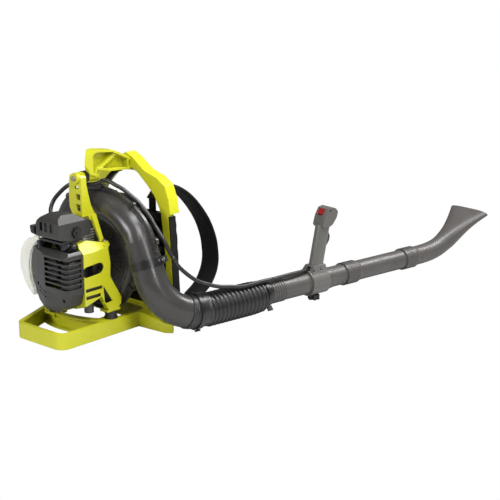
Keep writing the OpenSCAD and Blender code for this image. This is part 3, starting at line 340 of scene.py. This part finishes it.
def spline(pts, k):
    """Catmull-Rom through pts, k steps a span: 0.5(2b + (c-a)u + (2a-5b+4c-d)u2 + (3b-a-3c+d)u3)."""
    p = np.asarray(pts, float)
    q = np.vstack([2 * p[0] - p[1], p, 2 * p[-1] - p[-2]])
    out = []
    for i in range(len(p) - 1):
        a, b, c, d = q[i:i + 4]
        for u in np.arange(k) / k:
            out.append(0.5 * (2 * b + (c - a) * u + (2 * a - 5 * b + 4 * c - d) * u * u
                              + (3 * b - a - 3 * c + d) * u ** 3))
    return np.array(out + [p[-1]])


def around(n):
    """n even angles round a circle, their cosines and sines."""
    a = np.arange(n) * TURN / n
    return np.cos(a), np.sin(a)


def tube(path, radius, sides):
    """Round tube along a path that doesn't start upright, its ring frame carried along without twist."""
    p = np.asarray(path, float)
    along = np.gradient(p, axis=0)
    along /= np.linalg.norm(along, axis=1)[:, None]
    u = np.cross(along[0], [0.0, 0.0, 1.0])
    u /= np.linalg.norm(u)
    ca, sa = around(sides)
    rows = []
    for centre, d in zip(p, along):
        u = u - d * (u @ d)
        u /= np.linalg.norm(u)
        w = np.cross(d, u)
        rows.append(centre + radius * (ca[:, None] * u + sa[:, None] * w))
    return capped(rows)


def box(centre, size):
    """Box around centre with edge lengths size."""
    corners = np.array([[x, y, z] for x in (-1, 1) for y in (-1, 1) for z in (-1, 1)])
    faces = [[0, 1, 3, 2], [4, 6, 7, 5], [0, 4, 5, 1], [2, 3, 7, 6], [0, 2, 6, 4], [1, 5, 7, 3]]
    return corners * (np.asarray(size, float) / 2) + np.asarray(centre, float), faces


# ---------------------------------------------------------------- flexible hose

# Station 0 lies at the elbow's end. Behind BEND_START the hose follows the elbow's bend.
HOSE_START = np.array([230.163, -221.244, 53.032])
HOSE_AXIS = np.array([0.988545, -0.150929, 0.0])
UPWARD = np.array([0.0, 0.0, 1.0])
BEND_START, BEND_RADIUS = -18, 112
BEND_UP = np.array([0.0584, 0.3825, 0.9221])
BEND_SIDE = np.cross(BEND_UP, HOSE_AXIS)
HOSE_SIDES = 112

RIBS, RIB_START, RIB_END = 14, 8, 196.0
PITCH = (RIB_END - RIB_START) / RIBS
RIB_STEPS, RIB_HEIGHT, RIB_HEIGHT_INSIDE, RIB_WALL, RIB_SAG = 12, 5.2, 4.7, 1.7, 4.0
ROOTS = [39.3, 39.3, 38.7, 37.6, 36.1]
SLEEVE, SLEEVE_LIP, SLEEVE_BORE, BEAD = 44.2, 44.8, 42.5, 0.7
FRONT, FRONT_BORE, FRONT_END = 33.2, 30.3, 222


def root(s):
    """Radius at the root of the ribs: even, then closing in over the last three."""
    return np.interp(s, [RIB_START] + [RIB_START + k * PITCH for k in (11, 12, 13)] + [RIB_END], ROOTS)


def hose_ring(s, radius, drop):
    """Ring of the hose at station s: round the elbow's bend, or past it drop mm below the hose's axis."""
    angle = max(0.0, (BEND_START - s) / BEND_RADIUS)
    up = BEND_UP * math.cos(angle) + HOSE_AXIS * math.sin(angle)
    if s < BEND_START:
        centre = HOSE_START + BEND_START * HOSE_AXIS + BEND_RADIUS * BEND_UP - BEND_RADIUS * up
    else:
        centre = HOSE_START + s * HOSE_AXIS - drop * UPWARD
    ca, sa = around(HOSE_SIDES)
    return centre + radius * (ca[:, None] * BEND_SIDE + sa[:, None] * up)


def bead(s):
    """Low ring on the rear sleeve, 3.4 mm long."""
    return [(s + along, SLEEVE + height, 0) for along, height in ((0, 0), (0.8, BEAD), (2.6, BEAD), (3.4, 0))]


def bellows():
    """Closed half section of (station, radius, drop), swept on rings: beads on the rear sleeve, then ribs that
    rise by RIB_HEIGHT times (0.5 - 0.62 cos)^0.8 over each pitch and hang RIB_SAG low, then the front sleeve,
    and back inside."""
    u = np.arange(RIB_STEPS) / RIB_STEPS
    crest = np.clip(0.5 - 0.62 * np.cos(TURN * (u + 0.02)), 0, 1) ** 0.8
    s = (RIB_START + PITCH * (np.arange(RIBS)[:, None] + u)).reshape(-1)[1:]
    rise = np.tile(crest, RIBS)[1:]
    sag = np.full(len(s), RIB_SAG)
    out = [(-51.8, SLEEVE_BORE, 0), (-51.8, 44.1, 0)]
    out += [(-51.2, SLEEVE_LIP, 0), (-48.6, SLEEVE_LIP, 0), (-48, SLEEVE, 0)]
    out += bead(-46) + bead(-40)
    out += [(k, SLEEVE, 0) for k in (-33, -30, -26, -22, -18, -10)]
    out += bead(0.5)
    out += [(6.6, SLEEVE_LIP, 0), (7.4, SLEEVE_LIP, 0), (8.0, SLEEVE, 0), (8.2, 40.2, 3.4)]
    out += list(zip(s, root(s) + RIB_HEIGHT * rise, sag))
    out += [(RIB_END, 36.0, RIB_SAG), (RIB_END + 0.4, FRONT, 0), (FRONT_END - 0.6, FRONT, 0)]
    out += [(FRONT_END, 32.6, 0), (FRONT_END, FRONT_BORE, 0), (RIB_END - 1, FRONT_BORE, 0)]
    inner, inner_rise = s[::-1][8:], rise[::-1][8:]
    out += list(zip(inner, root(inner) - RIB_WALL + RIB_HEIGHT_INSIDE * inner_rise, sag))
    out += [(5.0, 37.6, 3.6)]
    out += [(k, SLEEVE_BORE, 0) for k in (3.6, -18, -26, -34, -43)]
    v = np.vstack([hose_ring(*q) for q in out])
    f = np.array(grid_faces(len(out) + 1, HOSE_SIDES)) % len(v)
    return outward(v, f.tolist())


v, f = bellows()
flex = make("ribbed_hose", v, f, MAT["rubber"], replaces=["bellows"])
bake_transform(flex)

# ---------------------------------------------------------------- throttle loom

LOOM_RADIUS = 5.2
LOOM = {
    "loom_engine": [[-22, 44, 234], [-20, 44, 256], [-12, 53, 276], [-2, 74, 290], [7, 92, 305], [18, 92, 328],
                    [26, 73, 352], [34, 50, 371], [48, 30, 378], [62, 14, 374], [74, 2, 374], [84, -6, 377],
                    [93, -12, 382], [100, -24, 382], [106, -45, 373], [114, -62, 364], [122, -82, 349],
                    [130, -106, 330], [133, -132, 306], [134, -154, 280], [137, -177, 252], [144, -188, 226],
                    [151, -196, 204]],
    "loom_elbow": [[151.2, -196.3, 203], [161, -207, 180], [176, -217, 161], [196, -226, 142.5],
                   [214.6, -232.7, 130.7]],
    "loom_hose": [[215, -232.9, 130.4], [232.5, -238.8, 123], [257.4, -241.6, 113], [282.1, -245.4, 106],
                  [306.7, -250.1, 101.5], [329.8, -256.7, 97], [355.4, -261.6, 95.4], [375.2, -264.1, 95.3],
                  [418.5, -266.2, 94.6], [452.6, -269.6, 93.2]],
    "loom_tube": [[453, -269.6, 93.2], [484, -273, 93], [515, -276.9, 93.5], [555, -280, 92.5],
                  [577.4, -279.3, 92], [593.8, -277.8, 91.5]],
}
BENDS = {
    "loom_elbow": ("machine", "elbow"),
    "loom_hose": ("elbow", "front_tube"),
    "loom_tube": ("front_tube", "handle"),
}
for name, pts in LOOM.items():
    v, f = tube(spline(pts, 8), LOOM_RADIUS, 20)
    piece = make(name + "_tube", v, f, MAT["rubber"], "machine" if name == "loom_engine" else None,
                 replaces=[name])
    if name in BENDS:
        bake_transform(piece)

# ---------------------------------------------------------------- starter rope

ROPE_START, ROPE_END = (-73.0, 42.3, 252.0), (-73.0, 44.3, 262.3)
ROPE_RADIUS = 1.9
v, f = tube(np.linspace(ROPE_START, ROPE_END, 14), ROPE_RADIUS, 16)
rope = make("starter_rope_line", v, f, MAT["rope"], replaces=["starter_rope"])
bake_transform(rope)

# ---------------------------------------------------------------- pads

PAD_SPREAD = 0.045
PAD_INSET = 3.0
SEAM_WIDTH, SEAM_DEPTH = 4.0, 0.34
PADS = {
    "back_pad": dict(z=(74, 294), half=149, x0=210, depth=32, seams=(118, 162, 206, 250)),
    "lumbar_pad": dict(z=(14, 71), half=158, x0=210, depth=40, seams=(42,)),
}
VOXEL, PRESSURE, BLOW_FRAMES = 5.0, 4.0, 20
BACK_HELD, SEAM_HELD = 4.5, 3.0
MOST_MOVE, MOST_FRONT = 7.0, 3


def pad_surface(z, half, x0, depth, seams):
    """Pad as a closed loft up Z, PAD_INSET inside its outline. v goes from 0 at its foot to 1 at its top, q
    from 1 to -1 over its width, and e = sqrt(1 - |2v-1|^6). Half width: half plus PAD_SPREAD times the height
    left above, times (0.95 + 0.05e). Depth: depth (0.3 + 0.7e) (0.25 + 0.75 sqrt(1 - q^4) (0.86 + 0.14 q^2)),
    less SEAM_DEPTH of it in a groove at each seam."""
    z0, z1 = z
    m, n = 64, 48
    q = np.linspace(1, -1, n + 1)
    crown = 0.25 + 0.75 * np.sqrt(np.maximum(0, 1 - q ** 4)) * (0.86 + 0.14 * q * q)
    rows = []
    for i in range(m + 1):
        level = z0 + PAD_INSET + (z1 - z0 - 2 * PAD_INSET) * (0.5 - 0.5 * math.cos(math.pi * i / m))
        v = (level - z0) / (z1 - z0)
        e = math.sqrt(max(0.0, 1 - abs(2 * v - 1) ** 6))
        dip = max(math.exp(-((level - c) / SEAM_WIDTH) ** 2) for c in seams)
        w = (half + (z1 - level) * PAD_SPREAD - PAD_INSET) * (0.95 + 0.05 * e)
        front = (depth - PAD_INSET) * (0.30 + 0.70 * e) * (1 - SEAM_DEPTH * dip)
        face = np.stack([x0 + front * crown, w * q, np.full(n + 1, level)], axis=1)
        back = [[x0 + 0.5, side * w * 0.97, level] for side in (1, -1)]
        rows.append(np.vstack([back[0], face, back[1]]))
    return capped(rows)


def applied(o):
    """The object's mesh with its modifiers applied."""
    graph = bpy.context.evaluated_depsgraph_get()
    mesh = bpy.data.meshes.new_from_object(o.evaluated_get(graph))
    o.modifiers.clear()
    o.data = mesh


def points_of(o):
    """The object's points, in metres."""
    co = np.empty(len(o.data.vertices) * 3)
    o.data.vertices.foreach_get("co", co)
    return co.reshape(-1, 3)


def blow_up(o, x0, front):
    """Cloth simulation under pressure with the held points fixed. A point moves MOST_MOVE at most and stays
    between the pad's back at x0 and its front."""
    before = points_of(o)
    cloth = o.modifiers.new("c", "CLOTH")
    cloth.settings.quality = 6
    cloth.settings.mass = 0.25
    cloth.settings.tension_stiffness = 12
    cloth.settings.compression_stiffness = 12
    cloth.settings.shear_stiffness = 6
    cloth.settings.bending_stiffness = 0.6
    cloth.settings.use_pressure = True
    cloth.settings.uniform_pressure_force = PRESSURE
    cloth.settings.effector_weights.gravity = 0
    cloth.settings.vertex_group_mass = "hold"
    cloth.collision_settings.use_collision = False
    cloth.point_cache.frame_start = 1
    cloth.point_cache.frame_end = BLOW_FRAMES
    for k in range(1, BLOW_FRAMES + 1):
        SCENE.frame_set(k)
    applied(o)
    step = points_of(o) - before
    far = np.linalg.norm(step, axis=1)
    step *= np.minimum(1, MOST_MOVE * MM / np.maximum(far, 1e-9))[:, None]
    after = before + step
    after[:, 0] = np.clip(after[:, 0], (x0 + 0.2) * MM, front * MM)
    o.data.vertices.foreach_set("co", after.reshape(-1))
    SCENE.frame_set(1)


def cushion(name, x0, depth, seams, **shape):
    """Sewn pad: remeshed, blown up with its back and its seams held, then subdivided once."""
    v, f = pad_surface(x0=x0, depth=depth, seams=seams, **shape)
    o = make(name, v, f, MAT["black_fabric"])
    remesh = o.modifiers.new("r", "REMESH")
    remesh.mode = "VOXEL"
    remesh.voxel_size = VOXEL * MM
    applied(o)
    co = points_of(o)
    hold = co[:, 0] < (x0 + BACK_HELD) * MM
    for c in seams:
        hold |= np.abs(co[:, 2] - c * MM) < SEAM_HELD * MM
    group = o.vertex_groups.new(name="hold")
    group.add(np.nonzero(hold)[0].tolist(), 1.0, "REPLACE")
    blow_up(o, x0, x0 + depth + MOST_FRONT)
    fine = o.modifiers.new("s", "SUBSURF")
    fine.levels = fine.render_levels = 1
    applied(o)
    o.data.shade_smooth()
    return o


for name, shape in PADS.items():
    o = cushion(name + "_cushion", **shape)
    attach(o, "machine")
    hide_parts(name)

# ---------------------------------------------------------------- straps and webbing

STRAP_Y = 72
STRAP = [[216, 0, 322], [240, 0, 343], [268, 0, 349], [310, 0, 327], [351, 0, 290], [390, 0, 240],
         [414, 0, 189], [422, 0, 150], [423, 0, 118], [413, 0, 86], [389, 0, 55], [350, 0, 32]]
LEFT = [[216, 0, 303], [238, 0, 309], [262, 0, 297], [292, 0, 266], [320, 0, 228], [338, 0, 186],
        [344, 0, 146], [341, 0, 112], [340, 0, 84], [344, 0, 58], [349, 0, 36]]
STRAP_WIDTH, STRAP_THICK, STRAP_STITCH = 60, 11.6, 0.80
WEB = [[344, 0, 30], [322, 0, 19], [292, 0, 9], [264, 0, 6], [232, 0, 7], [206, 0, 11]]
TAB = [[207, 0, 292], [207.2, 0, 304], [207.2, 0, 316], [207, 0, 328]]
LOOP = [[161.5, 0, 397.2], [150, 0, 398], [137, 0, 392.3], [123.5, 0, 382.3], [118, 0, 374.2]]
WEB_WIDTH, LOOP_WIDTH, WEB_THICK, TAB_THICK = 26, 22, 2.6, 2.4
BAND_SIDES = 56


def band(path, y, w, t, steps, ends=1.0, crown=0.0, stitch=None):
    """Flat strap: superellipse section of width w and thickness t swept along a path in the XZ plane at Y = y.
    ends thins both ends, crown adds to the middle, and stitch is the share of the half width where a stitched
    line presses the strap in."""
    p = spline(path, steps)
    d = np.gradient(p, axis=0)
    d /= np.linalg.norm(d, axis=1)[:, None]
    out_of_face = np.stack([-d[:, 2], d[:, 1] * 0, d[:, 0]], axis=1)
    ca, sa = around(BAND_SIDES)
    across = np.sign(ca) * np.abs(ca) ** 0.55
    thick = np.sign(sa) * np.abs(sa) ** 0.75
    if stitch:
        thick = thick * (1 - 0.30 * np.exp(-((np.abs(across) - stitch) / 0.035) ** 2))
    thick = thick * (1 + crown * (1 - across ** 2))
    rows = []
    for i in range(len(p)):
        from_end = min(i, len(p) - 1 - i) / steps
        share = min(1.0, ends + (1 - ends) * min(1.0, from_end / 2))
        wide = np.outer(w / 2 * across, [0, 1, 0])
        deep = np.outer(t / 2 * share * thick, out_of_face[i])
        rows.append(p[i] + wide + deep + [0, y, 0])
    return capped(rows)


v, f = join([band(path, y, STRAP_WIDTH, STRAP_THICK, 10, 0.55, 0.12, STRAP_STITCH)
             for path, y in ((STRAP, -STRAP_Y), (LEFT, STRAP_Y))])
o = make("shoulder_strap_pads", v, f, MAT["black_fabric"], "machine", ["shoulder_straps"])

SIDES = (-STRAP_Y, STRAP_Y)
v, f = join([band(WEB, y, WEB_WIDTH, WEB_THICK, 8) for y in SIDES]
            + [band(TAB, y, WEB_WIDTH, TAB_THICK, 3) for y in SIDES]
            + [band(LOOP, -1, LOOP_WIDTH, WEB_THICK, 8)])
make("harness_webbing", v, f, WEBBING, "machine", ["webbing"])

# ---------------------------------------------------------------- painted shade behind the starter cover's louvres

# Thin dark plates behind the louvres, one at the side and one at the rear. They are painted shade: black
# sheets that stand in for the shadowed depth behind the louvres.
PLATE = 1.0
SHADE_PLATE_Z, SHADE_PLATE_HEIGHT = 173, 69
v, f = join([box((-61.2, -70.3, SHADE_PLATE_Z), (39, PLATE, SHADE_PLATE_HEIGHT)),
             box((-81.2, -57.5, SHADE_PLATE_Z), (PLATE, 24, SHADE_PLATE_HEIGHT))])
make("louvre_painted_shade", v, f, MAT["black_plastic"], "machine", smooth=False)

# ---------------------------------------------------------------- floor, light, camera


def white_for_camera(tree, plain, white, output):
    """The camera alone sees the white shader, and every other ray meets the plain one."""
    path = tree.nodes.new("ShaderNodeLightPath")
    mix = tree.nodes.new("ShaderNodeMixShader")
    tree.links.new(path.outputs["Is Camera Ray"], mix.inputs["Fac"])
    tree.links.new(plain, mix.inputs[1])
    tree.links.new(white, mix.inputs[2])
    tree.links.new(mix.outputs["Shader"], tree.nodes[output].inputs["Surface"])


def white_glow(node, strength):
    """Output of an Emission or Background node, set to white of a strength."""
    node.inputs["Color"].default_value = (1, 1, 1, 1)
    node.inputs["Strength"].default_value = strength
    return node.outputs[0]


FLOOR_HALF, FLOOR_Z = 9000, -1.0
floor_m = bpy.data.materials.new("floor")
floor_m.use_nodes = True
tree = floor_m.node_tree
surface = tree.nodes["Principled BSDF"]
surface.inputs["Base Color"].default_value = (0.55, 0.55, 0.55, 1)
surface.inputs["Roughness"].default_value = 0.9
bright = white_glow(tree.nodes.new("ShaderNodeEmission"), 1.0)
white_for_camera(tree, surface.outputs["BSDF"], bright, "Material Output")
v = np.array([[x * FLOOR_HALF, y * FLOOR_HALF, FLOOR_Z] for x, y in ((-1, -1), (1, -1), (1, 1), (-1, 1))])
floor = make("floor", v, [(0, 1, 2, 3)], floor_m, smooth=False)

world = bpy.data.worlds.new("world")
SCENE.world = world
world.use_nodes = True
tree = world.node_tree
dim = white_glow(tree.nodes["Background"], 0.13)
bright = white_glow(tree.nodes.new("ShaderNodeBackground"), 1.0)
white_for_camera(tree, dim, bright, "World Output")


def lamp(name, at, aim, power, width, height):
    """Rectangular lamp that faces aim. Places and sizes of lamps and camera are metres."""
    light = bpy.data.lights.new(name, "AREA")
    light.shape = "RECTANGLE"
    light.size = width
    light.size_y = height
    light.energy = power
    o = bpy.data.objects.new(name, light)
    o.location = Vector(at)
    o.rotation_mode = "QUATERNION"
    o.rotation_quaternion = (Vector(aim) - Vector(at)).to_track_quat("-Z", "Y")
    SCENE.collection.objects.link(o)


lamp("key", (-0.6, -1.9, 2.3), (0.3, -0.1, 0.15), 36, 1.0, 0.5)
lamp("top", (0.45, -0.75, 2.4), (0.4, -0.2, 0.1), 50, 2.2, 0.45)
lamp("right", (1.9, -0.7, 1.8), (0.3, -0.2, 0.1), 42, 0.5, 1.5)
lamp("side", (-2.4, 0.3, 1.2), (0.0, 0.0, 0.2), 36, 1.0, 0.6)
lamp("front", (-0.3, -2.9, 1.7), (0.3, -0.2, 0.1), 24, 0.35, 1.1)

CAMERA_AT = (-1.900, -2.236, 0.995)
AZIMUTH, TILT = math.radians(41), math.radians(15)
LENS, SENSOR = 86.4, 36.0
cam = bpy.data.cameras.new("camera")
cam.sensor_width = SENSOR
cam.lens = LENS
cam.clip_start, cam.clip_end = 0.1, 60.0
view = bpy.data.objects.new("camera", cam)
SCENE.collection.objects.link(view)
view.location = CAMERA_AT
ahead = Vector((math.cos(AZIMUTH) * math.cos(TILT), math.sin(AZIMUTH) * math.cos(TILT), -math.sin(TILT)))
view.rotation_mode = "QUATERNION"
view.rotation_quaternion = ahead.to_track_quat("-Z", "Y")
SCENE.camera = view

SCENE.view_settings.view_transform = "Standard"
